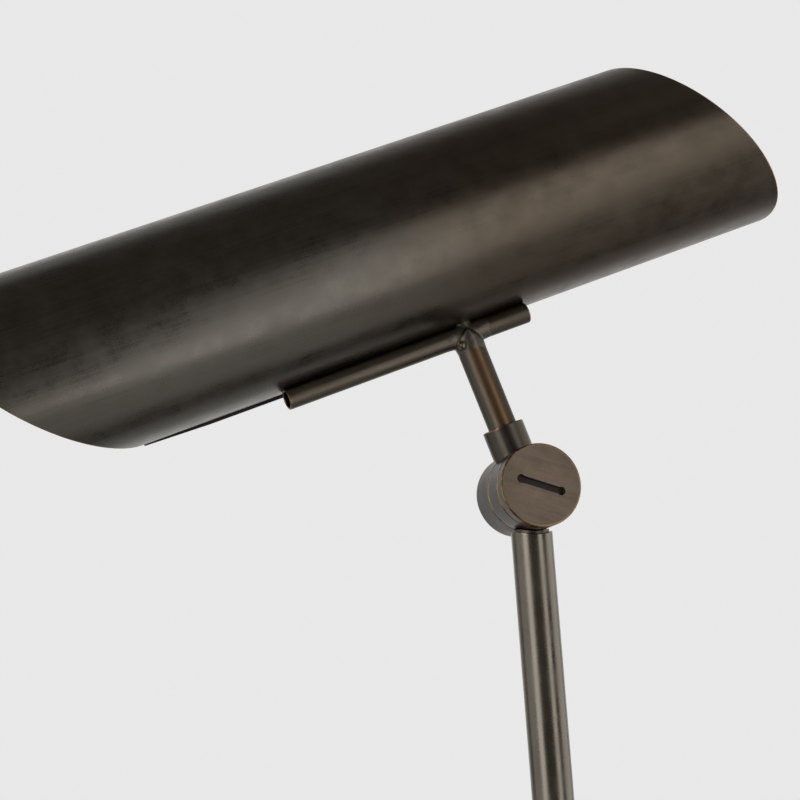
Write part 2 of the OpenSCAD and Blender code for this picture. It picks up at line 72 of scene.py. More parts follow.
# Sizes of the shade, the bar and the stem
SHADE_R = 43.9
SHADE_WALL = 1.0
SHADE_RIM = 0.3
SHADE_TURNS = 160
SHADE_HALF = 150.0
SHADE_CUTS = 60
SHADE_LEFT = 191.0
SHADE_RIGHT = 169.0
LEFT_MITRE = 0.92
RIGHT_MITRE = 0.12
END_RAKE = 0.567
SHADE_WRAP = 7.0
SHADE_SHIFT = 28.2
SHADE_BACK = 6.7
AXIS_Z = 121.03
BEAD_R = 1.2
BEAD_TIP = 0.35
BEAD_TAPER = 30.0
BEAD_END = -48.5
BEAD_EDGE = 0.4
BAR_R = 4.6
BAR_WALL = 1.0
BAR_LEFT = -86.7
BAR_RIGHT = 30.3
STEM_R = 6.35
STEM_WALL = 1.2
STEM_REACH = 73.5
EAR_TOP = 74.2
EAR_SLOPE = 1.1
EAR_GAP = 0.5
EAR_UNDER = 2.0
LEAD_R = 3.0

# Sizes of the braze: its bore, fillet, the saddle round the lead, the drop and the lumps' pitch and height
BRAZE_BORE_LOW = 50.0
BRAZE_LOW = 63.0
BRAZE_FULL = 68.0
BRAZE_OVER = 1.6
BRAZE_RIDGE = -0.8
BRAZE_OUT = 0.3
BRAZE_IN = 0.4
BRAZE_REACH = 14.0
BRAZE_WAIST = 9.0
BRAZE_BAR_OUT = 0.2
BRAZE_BAR_IN = 0.5
SADDLE = 1.2
DROP_AT = Vector((-4.9, -3.9, 69.3))
DROP_R = 1.8
# How far the drop is worn to brass round its middle: wear, and a painted highlight on the bump.
DROP_WEAR_AND_HIGHLIGHT = 1.2
MELT_GRAIN = 0.35
MELT_ROUNDS = 30
LUMPS = ((0.3, 0.14), (0.9, 0.06))

# Sizes of the knuckles, from their slotted front to their back along Y
DISC_R = 18.2
CAP_FRONT = -17.4
CAP_BACK = -11.8
TILT_FRONT = -11.3
TILT_BACK = 0.8
FIXED_FRONT = 1.3
FIXED_BACK = 17.3
SCREW_R = 4.0
SCREW_END = 14.3
SCREW_EDGE = 0.6
SLOT_REACH = 9.3
SLOT_W = 3.1
SLOT_END_R = 1.9
SLOT_DEPTH = 3.0
SLOT_MARGIN = 0.1
SLOT_TURN = radians(14.5)
CAP_EDGE = 0.55
DISC_EDGE = 0.4
COLLAR_EDGE = 0.35
COLLAR_CLEAR = 18.6
COPE_R = 20.0
BORE_FLOOR = 19.6
PLUG_DROP = 20.7
PLUG_LEN = 12.0
PLUG_EDGE = 0.4
HEAD_COLLAR_R = 9.2
HEAD_COLLAR_TOP = 30.0
ARM_COLLAR_R = 11.5
ARM_COLLAR_TOP = 36.0
ARM_PLUG_R = 7.65
HOUSING_PLUG_R = 12.0
HOUSING_NECK_R = 9.5

# Sizes of the arm, the post, the switch housing and the base
ARM_R = 9.0
ARM_WALL = 1.3
POST_R = 11.0
POST_WALL = 1.5
BASE_R = 127.0
BASE_H = 22.0
COVER_WALL = 1.2
COVER_EDGE = 6.0
COVER_LIFT = 1.0
COVER_BORE_R = 5.05
COVER_TURNS = 192
FELT_R = 118.0
FELT_T = 2.0
FELT_EDGE = 0.5
FELT_TURNS = 160
FLANGE_R = 22.0
FLANGE_STEP_R = 18.5
FLANGE_TOP_R = 13.0
FLANGE_STEP = 5.0
FLANGE_H = 10.0
FLANGE_EDGES = (0.4, 0.8, 0.5, 0.6)
INLET_Z = 8.2
INLET_HOLE_R = 5.15
BUSHING_BORE_R = 3.1
BUSHING_R = 5.1
BUSHING_HEAD_R = 6.3
BUSHING_HEAD = 1.6
BUSHING_RIM = 0.5
BUSHING_MOUTH = 0.7
BUSHING_END = 121.4
HOUSING_R = 17.0
HOUSING_EDGE = 1.2
HOUSING_LOW = 648.0
HOUSING_TOP = 706.0
HOUSING_BORE_R = 14.2
POST_TOP = 662.0
WEB_R = 7.5
WEB_T = 2.0
FLAT_R = 9.0
FLAT_Y = -15.8
FLAT_TURNS = 64
NECK_HOLE_R = 4.55

# Sizes of the knob, from its front to its back along Y
KNOB_R = 9.0
KNOB_BACK = -19.1
KNOB_FRONT = -33.1
KNOB_FRONT_EDGE = 1.0
KNOB_BACK_EDGE = 0.6
KNOB_FACE = 3.0
POCKET_R = 5.5
POCKET_END = -22.2
SHAFT_HOLE_R = 3.05
KNOB_FLUTES = 18
FLUTE_R = 0.8
FLUTE_OUT = 0.4
FLUTE_LEN = 14.0
FLUTE_MIDDLE = -23.1

# Sizes of the bulb and its holder, along the shade from the holder's mouth
BULB_R = 16.0
BULB_LEN = 118.0
BULB_NECK_R = 12.3
BULB_NECK = 7.0
BULB_SHOULDER = 17.0
BULB_BEND = 3.0
BULB_END = BULB_R - 0.01
BULB_TURNS = 72
SOCKET_MOUTH = 30.8
SOCKET_END = 78.8
SOCKET_R = 17.0
MOUTH_EDGES = (0.8, 1.2)
SOCKET_EDGE = 1.5
SOCKET_BORE_R = 13.8
SOCKET_BORE = 27.0
GROOVE_R = 16.2
GROOVE_SPAN = (12.0, 16.0)
GROOVE_SLOPE = 1.0
GROOVE_EDGE = 0.6
GROOVE_BED = 0.4
NIPPLE_HOLE_R = 4.9
NIPPLE_HOLE = 8.5

# Frames of the lamp's sub-assemblies
UP = Vector((0, 0, 1))
ALONG_X = Matrix.Rotation(pi / 2, 4, "Y")
ALONG_Y = Matrix.Rotation(-pi / 2, 4, "X")


def frame_at(origin, up):
    """The matrix from a sub-assembly's own millimetres to the lamp's frame, with its Z along up."""
    z = Vector(up).normalized()
    y = Vector((0, 1, 0))
    turn = Matrix((y.cross(z), y, z)).transposed().to_4x4()
    return Matrix.Translation(origin) @ turn @ Matrix.Scale(MM, 4)


def shift(x, y, z):
    return Matrix.Translation((x, y, z))


joints = {joint["name"]: joint for joint in frame["joints"]}
lower_pivot = Vector(joints["arm_tilt"]["pos_m"])
upper_pivot = Vector(joints["head_tilt"]["pos_m"])
arm_span = upper_pivot - lower_pivot
arm_len = arm_span.length / MM
FLOOR = frame_at((0, 0, 0), UP)
LOWER = frame_at(lower_pivot, UP)
ARM = frame_at(lower_pivot, arm_span)
ARM_END = frame_at(upper_pivot, arm_span)
UPPER = frame_at(upper_pivot, UP)
STEM = frame_at(upper_pivot, joints["shade_swivel"]["axis"])
BAR = STEM @ shift(0, 0, STEM_REACH)
SHADE = STEM @ shift(-SHADE_SHIFT, SHADE_BACK, AXIS_Z)
LAMP = STEM @ shift(0, 0, AXIS_Z)
knob_z = joints["dimmer_turn"]["pos_m"][2] / MM
KNOB = frame_at((0, 0, knob_z * MM), UP)


# Shaping
def soften(corners):
    """Outline points (place, wear) from (radius, height, rounding) corners, with arcs at the rounded ones."""
    points = []
    for index, (r, z, *rounding) in enumerate(corners):
        here = Vector((r, z))
        if not rounding:
            points.append((here, 0.0))
            continue
        trim = rounding[0]
        back = Vector(corners[index - 1][:2]) - here
        ahead = Vector(corners[(index + 1) % len(corners)][:2]) - here
        enter, leave = back.normalized(), ahead.normalized()
        wear = min(1.0, WORN_EDGE / trim)
        points.append((here + enter * min(trim + GUARD, back.length * NEAR_HALF), 0.0))
        for step in range(ARC_STEPS + 1):
            turn = step / ARC_STEPS * pi / 2
            arc = enter * (1 - sin(turn)) + leave * (1 - cos(turn))
            points.append((here + arc * trim, wear))
        points.append((here + leave * min(trim + GUARD, ahead.length * NEAR_HALF), 0.0))
    return points


def lathe(corners, closed=False, turns=TURNS, sweep=2 * pi):
    """A form turned about Z from an outline of corners."""
    bm = bmesh.new()
    wear = bm.verts.layers.float.new(WEAR)
    chain = []
    for point, amount in soften(corners):
        vert = bm.verts.new((point.x, 0, point.y))
        vert[wear] = amount
        chain.append(vert)
    ends = chain[1:] + chain[:1] if closed else chain[1:]
    for pair in zip(chain, ends):
        bm.edges.new(pair)
    bmesh.ops.spin(bm, geom=bm.verts[:] + bm.edges[:], cent=(0, 0, 0), axis=(0, 0, 1),
                   angle=sweep, steps=turns, use_merge=sweep == 2 * pi)
    open_edges = [edge for edge in bm.edges if edge.is_boundary]
    if closed and open_edges:
        bmesh.ops.edgeloop_fill(bm, edges=open_edges)
    bmesh.ops.remove_doubles(bm, verts=bm.verts[:], dist=TINY)
    bmesh.ops.recalc_face_normals(bm, faces=bm.faces[:])
    return bm


def turned(bm, *matrices):
    """A bmesh moved by one matrix after another."""
    for matrix in matrices:
        bmesh.ops.transform(bm, matrix=matrix, verts=bm.verts[:])
    return bm


def rod(r, low, high, edge=0.0, turns=TURNS):
    """A solid bar about Z."""
    rounding = (edge,) if edge else ()
    return lathe([(0, low), (r, low, *rounding), (r, high, *rounding), (0, high)], turns=turns)


def tube(r, wall, low, high, edge):
    """A pipe about Z with softened rims."""
    inner = r - wall
    return lathe([(inner, low, edge), (r, low, edge), (r, high, edge), (inner, high, edge)], closed=True)


def workpiece(bm):
    """A passing object that holds a bmesh while modifiers work on it. The bmesh is used up."""
    mesh = bpy.data.meshes.new("shaping")
    bm.to_mesh(mesh)
    bm.free()
    obj = bpy.data.objects.new("shaping", mesh)
    bpy.context.collection.objects.link(obj)
    return obj


def worked(obj, *helpers):
    """The bmesh that a workpiece's modifiers leave; the workpiece and its helpers go."""
    result = bmesh.new()
    result.from_object(obj, bpy.context.evaluated_depsgraph_get())
    for done in (obj, *helpers):
        mesh = done.data
        bpy.data.objects.remove(done)
        bpy.data.meshes.remove(mesh)
    return result


def combine(bm, tool, operation):
    """A bmesh joined with a tool or cut by it. Both are used up."""
    obj, helper = workpiece(bm), workpiece(tool)
    step = obj.modifiers.new("shaping", "BOOLEAN")
    step.object = helper
    step.operation = operation
    step.solver = "EXACT"
    return worked(obj, helper)


def worn_rims(bm, *rims):
    """Marks the worn rims of a shape afresh after cuts; a rim is its axis, radius, height and rounding."""
    wear = bm.verts.layers.float.get(WEAR) or bm.verts.layers.float.new(WEAR)
    for vert in bm.verts:
        vert[wear] = 0.0
        for axis, r, height, rounding in rims:
            along = vert.co["XYZ".index(axis)]
            out = sqrt(max(0.0, vert.co.length_squared - along ** 2))
            if max(abs(out - r), abs(along - height)) < rounding + TINY:
                vert[wear] = min(1.0, WORN_EDGE / rounding)
    return bm


def melt(bm, grain_size, rounds):
    """A form whose pieces have run together and rounded off, as solder does."""
    obj = workpiece(bm)
    join = obj.modifiers.new("shaping", "REMESH")
    join.mode = "VOXEL"
    join.voxel_size = grain_size
    flow = obj.modifiers.new("shaping", "SMOOTH")
    flow.factor = 0.5
    flow.iterations = rounds
    return worked(obj)


def piece(name, bm, body, material, nodes=(), at=FLOOR, second=None):
    """Places a finished shape, hangs it on its body and hides the CAD nodes it takes the place of."""
    turned(bm, at)
    for face in bm.faces:
        face.smooth = True
    for edge in bm.edges:
        edge.smooth = not edge.is_manifold or edge.calc_face_angle() < SHARP
    mesh = bpy.data.meshes.new(name)
    bm.to_mesh(mesh)
    bm.free()
    mesh.materials.append(material)
    if second:
        mesh.materials.append(second)
    obj = bpy.data.objects.new(name, mesh)
    bpy.context.collection.objects.link(obj)
    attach(obj, body)
    if nodes:
        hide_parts(*nodes)


def dress(material, *nodes):
    """Gives CAD nodes that show as they are their finish."""
    for node in nodes:
        for slot in frame["nodes"][node].material_slots:
            slot.material = material


# Finishes
def add(tree, kind, feeds=(), **settings):
    """A node with its settings; feeds gives each input a value or another node's output."""
    node = tree.nodes.new("ShaderNode" + kind)
    for key, value in settings.items():
        setattr(node, key, value)
    for key, value in dict(feeds).items():
        if isinstance(value, bpy.types.NodeSocket):
            tree.links.new(value, node.inputs[key])
        else:
            node.inputs[key].default_value = value
    return node


def calc(tree, operation, a, b=0.0, **settings):
    return add(tree, "Math", {0: a, 1: b}, operation=operation, **settings).outputs[0]


def scaled(tree, value, by):
    return calc(tree, "MULTIPLY", value, by)


def plus(tree, a, b):
    return calc(tree, "ADD", a, b)


def fade(tree, value, low, high):
    """0 below low, 1 above high, with a soft run between them."""
    feeds = {"Value": value, "From Min": low, "From Max": high}
    return add(tree, "MapRange", feeds, interpolation_type="SMOOTHSTEP").outputs["Result"]


def blend(tree, amount, a, b):
    """A mix of two colours; a Mix node takes them at inputs 6 and 7 and gives the mix at output 2."""
    return add(tree, "Mix", {0: amount, 6: a, 7: b}, data_type="RGBA").outputs[2]


def grain(tree, place, scale, detail=3.0):
    """Noise from 0 to 1; scale is how many waves a millimetre holds."""
    feeds = {"Vector": place, "Scale": scale, "Detail": detail, "Roughness": 0.6}
    return add(tree, "TexNoise", feeds).outputs["Fac"]


def group(name, inputs, outputs):
    """An empty shader group with named sockets, its inputs and its outputs."""
    tree = bpy.data.node_groups.new(name, "ShaderNodeTree")
    for way, names in (("INPUT", inputs), ("OUTPUT", outputs)):
        for socket, kind in names.items():
            tree.interface.new_socket(socket, in_out=way, socket_type="NodeSocket" + kind)
    given = tree.nodes.new("NodeGroupInput").outputs
    result = tree.nodes.new("NodeGroupOutput").inputs
    return tree, given, result


# Grain of the bronze: how many waves a millimetre holds, and the middle of every grain's range
CLOUD_WAVES = 0.018
PATCH_WAVES = 0.09
SPECK_WAVES = 1.3
LINE_WAVES = 0.9
LINE_DRAW = (1, 1, 0.02)
MIDDLE = 0.5

# How the grains share in the bronze's tone, its rubbed places, its gloss and its relief
CLOUD_TONE = 0.6
PATCH_TONE = 0.4
TARNISH_SPAN = (0.38, 0.62)
RUB_EVERYWHERE = 0.5
RUB_PATCHES = 1.2
RUB_LEAST = 0.4
WORN_SPAN = (0.3, 0.55)
PATCH_ROUGH = 0.3
LINE_ROUGH = 0.2
WORN_GLOSS = 0.08
PATCH_RELIEF = 0.25
SPECK_RELIEF = 0.05


def make_patina():
    """Aged bronze: clouds of tarnish, brushing along Z, rubbed places and brass on worn edges."""
    tree, given, result = group(
        "patina",
        {"Place": "Vector", "Dark": "Color", "Tarnish": "Color", "Rubbed": "Color", "Brass": "Color",
         "Rub": "Float", "Wear": "Float", "Streak": "Float", "Gloss": "Float", "Dent": "Float"},
        {"Color": "Color", "Roughness": "Float", "Height": "Float"})
    place = given["Place"]
    drawn_out = add(tree, "Mapping", {"Vector": place, "Scale": LINE_DRAW}).outputs[0]
    clouds = grain(tree, place, CLOUD_WAVES)
    patches = grain(tree, place, PATCH_WAVES, detail=5.0)
    specks = grain(tree, place, SPECK_WAVES, detail=2.0)
    lines = grain(tree, drawn_out, LINE_WAVES, detail=4.0)
    swing = scaled(tree, calc(tree, "SUBTRACT", lines, MIDDLE), given["Streak"])

    mix = plus(tree, scaled(tree, clouds, CLOUD_TONE), scaled(tree, patches, PATCH_TONE))
    tarnish = fade(tree, mix, *TARNISH_SPAN)
    rub = scaled(tree, given["Rub"], plus(tree, scaled(tree, patches, RUB_PATCHES), RUB_LEAST))
    rub = calc(tree, "ADD", plus(tree, rub, swing), RUB_EVERYWHERE, use_clamp=True)
    worn = scaled(tree, given["Wear"], fade(tree, plus(tree, patches, swing), *WORN_SPAN))
    tone = blend(tree, tarnish, given["Dark"], given["Tarnish"])
    tone = blend(tree, rub, tone, given["Rubbed"])
    tree.links.new(blend(tree, worn, tone, given["Brass"]), result["Color"])

    uneven = scaled(tree, calc(tree, "SUBTRACT", patches, MIDDLE), PATCH_ROUGH)
    rough = plus(tree, given["Gloss"], uneven)
    rough = calc(tree, "SUBTRACT", rough, scaled(tree, worn, WORN_GLOSS))
    tree.links.new(plus(tree, rough, scaled(tree, swing, LINE_ROUGH)), result["Roughness"])

    relief = plus(tree, swing, scaled(tree, patches, PATCH_RELIEF))
    relief = plus(tree, relief, scaled(tree, specks, SPECK_RELIEF))
    tree.links.new(plus(tree, relief, scaled(tree, clouds, given["Dent"])), result["Height"])
    return tree


# Grain of the plain stuffs
COARSE_WAVES = 0.04
SPECKLE_SPAN = (0.35, 0.65)
FINE_ROUGH = 0.25


def make_speckle():
    """A plain stuff whose tone drifts and whose surface has a fine grain."""
    tree, given, result = group(
        "speckle",
        {"Place": "Vector", "Light": "Color", "Deep": "Color", "Scale": "Float", "Gloss": "Float"},
        {"Color": "Color", "Roughness": "Float", "Height": "Float"})
    coarse = grain(tree, given["Place"], COARSE_WAVES)
    fine = grain(tree, given["Place"], given["Scale"], detail=4.0)
    tone = plus(tree, scaled(tree, coarse, MIDDLE), scaled(tree, fine, MIDDLE))
    shown = fade(tree, tone, *SPECKLE_SPAN)
    tree.links.new(blend(tree, shown, given["Deep"], given["Light"]), result["Color"])
    swing = scaled(tree, calc(tree, "SUBTRACT", fine, MIDDLE), FINE_ROUGH)
    tree.links.new(plus(tree, given["Gloss"], swing), result["Roughness"])
    tree.links.new(fine, result["Height"])
    return tree


PATINA = make_patina()
SPECKLE = make_speckle()


def start(name, at, **constants):
    """A new material: its tree, its shader and the place in a sub-assembly's millimetres."""
    material = bpy.data.materials.new(name)
    material.use_nodes = True
    tree = material.node_tree
    shader = tree.nodes["Principled BSDF"]
    for socket, value in constants.items():
        shader.inputs[socket.replace("_", " ")].default_value = value
    feeds = {
        "Vector": add(tree, "TexCoord").outputs["Object"],
        "Location": at.to_translation(),
        "Rotation": at.to_euler(),
        "Scale": (MM, MM, MM),
    }
    place = add(tree, "Mapping", feeds, vector_type="TEXTURE").outputs[0]
    return material, tree, shader, place


def finish_with(tree, shader, effect, relief):
    """Feeds a group's outputs to the shader; relief is the depth of its grain in millimetres."""
    tree.links.new(effect.outputs["Color"], shader.inputs["Base Color"])
    tree.links.new(effect.outputs["Roughness"], shader.inputs["Roughness"])
    feeds = {"Height": effect.outputs["Height"], "Distance": relief * MM, "Strength": 1.0}
    tree.links.new(add(tree, "Bump", feeds).outputs[0], shader.inputs["Normal"])


def colour(r, g, b):
    return (r, g, b, 1.0)


BRASS_EDGE = colour(0.42, 0.27, 0.13)
WARM_SPAN = (-50.0, 60.0)
WARM_DULL = 0.04
STRIPE_CORE = 0.4
STRIPE_WAVES = 0.11
STRIPE_SPAN = (0.2, 0.42)


def bronze(name, at, dark, tarnish, rubbed, gloss, rub=0.0, streak=0.6, wear=1.0, relief=0.02, dent=0.0,
           warm=None, stripe=None):
    """Patinated bronze, brushed along the Z of its frame.

    warm gives the tones that it drifts to up that Z.
    stripe gives a streak's middle and reach in X, and its tone: on the stem a bare streak, on the collar a
    painted highlight on one side.
    """
    material, tree, shader, place = start(name, at, Metallic=1.0)
    edges = add(tree, "Attribute", attribute_name=WEAR).outputs["Fac"]
    effect = add(tree, "Group", node_tree=PATINA)
    tree.links.new(place, effect.inputs["Place"])
    tree.links.new(scaled(tree, edges, wear), effect.inputs["Wear"])
    values = {"Dark": dark, "Tarnish": tarnish, "Rubbed": rubbed, "Brass": BRASS_EDGE,
              "Rub": rub, "Streak": streak, "Gloss": gloss, "Dent": dent}
    for socket, value in values.items():
        effect.inputs[socket].default_value = value
    if warm:
        amount = fade(tree, add(tree, "SeparateXYZ", {0: place}).outputs["Z"], *WARM_SPAN)
        tree.links.new(blend(tree, amount, dark, warm[0]), effect.inputs["Dark"])
        tree.links.new(blend(tree, amount, tarnish, warm[1]), effect.inputs["Tarnish"])
        tree.links.new(blend(tree, amount, rubbed, warm[2]), effect.inputs["Rubbed"])
        tree.links.new(plus(tree, scaled(tree, amount, WARM_DULL), gloss), effect.inputs["Gloss"])
    if stripe:
        middle, reach, tone = stripe
        across = add(tree, "SeparateXYZ", {0: place}).outputs["X"]
        aside = calc(tree, "ABSOLUTE", calc(tree, "SUBTRACT", across, middle))
        broken = fade(tree, grain(tree, place, STRIPE_WAVES), *STRIPE_SPAN)
        amount = scaled(tree, fade(tree, aside, reach, STRIPE_CORE * reach), broken)
        tree.links.new(blend(tree, amount, dark, tone), effect.inputs["Dark"])
        tree.links.new(blend(tree, amount, tarnish, tone), effect.inputs["Tarnish"])
    finish_with(tree, shader, effect, relief)
    return material


def plain(name, light, deep, scale, gloss, relief, at=FLOOR, **constants):
    """A plain stuff with a fine grain."""
    material, tree, shader, place = start(name, at, **constants)
    effect = add(tree, "Group", node_tree=SPECKLE)
    tree.links.new(place, effect.inputs["Place"])
    for socket, value in {"Light": light, "Deep": deep, "Scale": scale, "Gloss": gloss}.items():
        effect.inputs[socket].default_value = value
    finish_with(tree, shader, effect, relief)
    return material


BRUSHED = Matrix.Rotation(pi / 2 + SLOT_TURN, 4, "Y")

# Tones of the bronzes: dark, tarnished and rubbed; a stripe's middle, reach and tone
SHADE_TONES = (colour(0.070, 0.056, 0.046), colour(0.120, 0.114, 0.099), colour(0.16, 0.15, 0.13))
SHADE_WARM = (colour(0.076, 0.056, 0.041), colour(0.098, 0.079, 0.059), colour(0.12, 0.099, 0.075))
TUBE_TONES = (colour(0.130, 0.114, 0.096), colour(0.185, 0.168, 0.142), colour(0.24, 0.22, 0.18))
ARM_TONES = (colour(0.138, 0.120, 0.100), colour(0.195, 0.174, 0.146), colour(0.25, 0.23, 0.19))
STEM_TONES = (colour(0.078, 0.067, 0.053), colour(0.110, 0.100, 0.085), colour(0.15, 0.135, 0.11))
STEM_STRIPE = (-0.4, 4.6, colour(0.240, 0.108, 0.030))
BRAZE_TONES = (colour(0.070, 0.060, 0.050), colour(0.160, 0.146, 0.122), colour(0.20, 0.18, 0.15))
BAR_TONES = (colour(0.088, 0.068, 0.052), colour(0.130, 0.108, 0.085), colour(0.17, 0.15, 0.12))
BAR_WARM = (colour(0.060, 0.047, 0.035), colour(0.090, 0.076, 0.059), colour(0.12, 0.105, 0.083))
COLLAR_TONES = (colour(0.036, 0.028, 0.023), colour(0.080, 0.075, 0.065), colour(0.14, 0.123, 0.1))
# A lighter stripe on the collar's right side: a painted highlight.
COLLAR_PAINTED_HIGHLIGHT = (5.2, 4.6, colour(0.290, 0.262, 0.215))
RIM_TONES = (colour(0.088, 0.078, 0.071), colour(0.112, 0.104, 0.097), colour(0.145, 0.135, 0.12))
DISC_TONES = (colour(0.122, 0.090, 0.066), colour(0.157, 0.118, 0.088), colour(0.20, 0.155, 0.12))

shade_bronze = bronze("shade_bronze", SHADE @ ALONG_X, *SHADE_TONES,
                      rub=0.2, gloss=0.295, dent=15.0, warm=SHADE_WARM)
bar_bronze = bronze("bar_bronze", BAR @ ALONG_X, *BAR_TONES, streak=0.9, gloss=0.4, warm=BAR_WARM)
stem_bronze = bronze("stem_bronze", STEM, *STEM_TONES, gloss=0.4, stripe=STEM_STRIPE)
braze_bronze = bronze("braze_bronze", STEM, *BRAZE_TONES, streak=0.3, gloss=0.4, relief=0.04)
arm_bronze = bronze("arm_bronze", ARM, *ARM_TONES, streak=0.4, gloss=0.29, relief=0.01)
post_bronze = bronze("post_bronze", FLOOR, *TUBE_TONES, gloss=0.36)
base_bronze = bronze("base_bronze", FLOOR, *SHADE_TONES, rub=0.25, streak=0.2, gloss=0.36)
upper_disc_bronze = bronze("upper_disc_bronze", UPPER @ BRUSHED, *DISC_TONES, streak=1.8, gloss=0.4, wear=0.6)
lower_disc_bronze = bronze("lower_disc_bronze", LOWER @ BRUSHED, *DISC_TONES, streak=1.8, gloss=0.4, wear=0.6)
upper_rim_bronze = bronze("upper_rim_bronze", UPPER, *RIM_TONES, streak=0.3, gloss=0.4)
lower_rim_bronze = bronze("lower_rim_bronze", LOWER, *RIM_TONES, streak=0.3, gloss=0.4)
head_bronze = bronze("head_bronze", STEM, *COLLAR_TONES, streak=0.5, gloss=0.36, stripe=COLLAR_PAINTED_HIGHLIGHT)
arm_collar_bronze = bronze("arm_collar_bronze", ARM, *COLLAR_TONES, streak=0.3, gloss=0.4)
knob_bronze = bronze("knob_bronze", KNOB, *DISC_TONES, streak=0.4, gloss=0.38)
# The slot's floor and walls are painted near black: painted shade in the recess of the slot.
slot_painted_shade = plain("slot_painted_shade", colour(0.035, 0.024, 0.018), colour(0.02, 0.014, 0.011),
                  scale=0.9, gloss=0.62, relief=0.02, at=UPPER)
# The bead is painted near black and dull: painted shade along the lower lip of the shade.
bead_painted_shade = plain("bead_painted_shade", colour(0.016, 0.014, 0.013), colour(0.01, 0.009, 0.008),
                   scale=0.5, gloss=0.6, relief=0.01, at=SHADE, Specular_IOR_Level=0.1)
brass = plain("brass", colour(0.50, 0.35, 0.16), colour(0.36, 0.24, 0.10),
              scale=0.8, gloss=0.3, relief=0.01, Metallic=1.0)
steel = plain("zinc_steel", colour(0.55, 0.55, 0.54), colour(0.42, 0.42, 0.42),
              scale=0.7, gloss=0.34, relief=0.01, Metallic=1.0)
aluminium = plain("cap_aluminium", colour(0.72, 0.72, 0.72), colour(0.6, 0.6, 0.6),
                  scale=0.9, gloss=0.3, relief=0.01, Metallic=1.0)
iron = plain("cast_iron_finish", colour(0.09, 0.09, 0.088), colour(0.05, 0.048, 0.046),
             scale=0.6, gloss=0.62, relief=0.15, Metallic=0.6)
felt = plain("felt_finish", colour(0.045, 0.044, 0.043), colour(0.02, 0.02, 0.02),
             scale=1.6, gloss=0.92, relief=0.25)
rubber = plain("rubber_finish", colour(0.035, 0.034, 0.033), colour(0.02, 0.02, 0.02),
               scale=1.2, gloss=0.68, relief=0.03)
phenolic = plain("phenolic_finish", colour(0.045, 0.04, 0.036), colour(0.028, 0.025, 0.022),
                 scale=0.8, gloss=0.42, relief=0.01)
nylon = plain("nylon_finish", colour(0.78, 0.75, 0.69), colour(0.68, 0.65, 0.58),
              scale=0.5, gloss=0.45, relief=0.01)
porcelain = plain("porcelain_finish", colour(0.80, 0.77, 0.70), colour(0.72, 0.68, 0.60),
                  scale=0.2, gloss=0.16, relief=0.005)
lead_sleeve = plain("lead_finish", colour(0.42, 0.30, 0.13), colour(0.28, 0.19, 0.08),
                    scale=1.1, gloss=0.6, relief=0.08)
frosted = plain("frosted_finish", colour(0.96, 0.95, 0.92), colour(0.92, 0.90, 0.86),
                scale=0.6, gloss=0.42, relief=0.006, Transmission_Weight=0.7)


# Shade
def shade_end(side, ridge, mitre, place):
    """Where an end of the shade cuts the line along X through a place; side is 1 at the right."""
    return side * (ridge - mitre * (place.y + SHADE_R)) - END_RAKE * place.z


def shade_sheet():
    """The rolled sheet: a thin outline swept about X, then drawn out to its raked ends."""
    half, cuts = SHADE_HALF, SHADE_CUTS
    inner = SHADE_R - SHADE_WALL
    steps = [half * (2 * step / cuts - 1) for step in range(1, cuts)]
    corners = [(inner, -half, SHADE_RIM), (SHADE_R, -half, SHADE_RIM)]
    corners += [(SHADE_R, step) for step in steps]
    corners += [(SHADE_R, half, SHADE_RIM), (inner, half, SHADE_RIM)]
    corners += [(inner, step) for step in reversed(steps)]
    lip = asin(SHADE_WRAP / SHADE_R)
    bm = lathe(corners, closed=True, turns=SHADE_TURNS, sweep=-(pi + 2 * lip))
    turned(bm, Matrix.Rotation(lip, 4, "Z"), ALONG_X)
    for vert in bm.verts:
        left = shade_end(-1, SHADE_LEFT, LEFT_MITRE, vert.co)
        right = shade_end(1, SHADE_RIGHT, RIGHT_MITRE, vert.co)
        vert.co.x = left + (right - left) * (vert.co.x + half) / (2 * half)
    return bm


def lip_bead():
    """The rolled bead on the lower lip, which thins out to the left and ends behind the bar."""
    y = SHADE_WRAP - BEAD_R
    place = Vector((0, y, -sqrt((SHADE_R + BEAD_R / 4) ** 2 - y ** 2)))
    left = shade_end(-1, SHADE_LEFT, LEFT_MITRE, place)
    bm = lathe([(0, left), (BEAD_TIP, left), (BEAD_R, left + BEAD_TAPER),
                (BEAD_R, BEAD_END, BEAD_EDGE), (0, BEAD_END)], turns=SMALL_TURNS)
    return turned(bm, ALONG_X, Matrix.Translation(place))


piece("shade_sheet", shade_sheet(), "lampshade", shade_bronze, ["shade"], SHADE)
# The bead's near-black finish is painted shade under the lip.
piece("lip_bead", lip_bead(), "lampshade", bead_painted_shade, (), SHADE)


# Bar and stem
def bar_core(r, reach):
    """A solid along the bar, to cut what passes it."""
    return turned(rod(r, -reach, reach), ALONG_X, shift(0, 0, STEM_REACH))


def stem_pipe():
    """The stem's tube, whose walls climb in front of the bar and behind it as pointed ears."""
    bm = tube(STEM_R, STEM_WALL, BORE_FLOOR + FIT, STEM_REACH, CRISP)
    for vert in bm.verts:
        if vert.co.z > STEM_REACH - RIM_BAND:
            under_shade = AXIS_Z - sqrt(SHADE_R ** 2 - (vert.co.y - SHADE_BACK) ** 2) - EAR_GAP
            ear = EAR_TOP - EAR_UNDER - EAR_SLOPE * abs(vert.co.x)
            vert.co.z += min(ear, under_shade) - STEM_REACH
    return worn_rims(combine(bm, bar_core(BAR_R + FIT, 2 * STEM_R), "DIFFERENCE"))


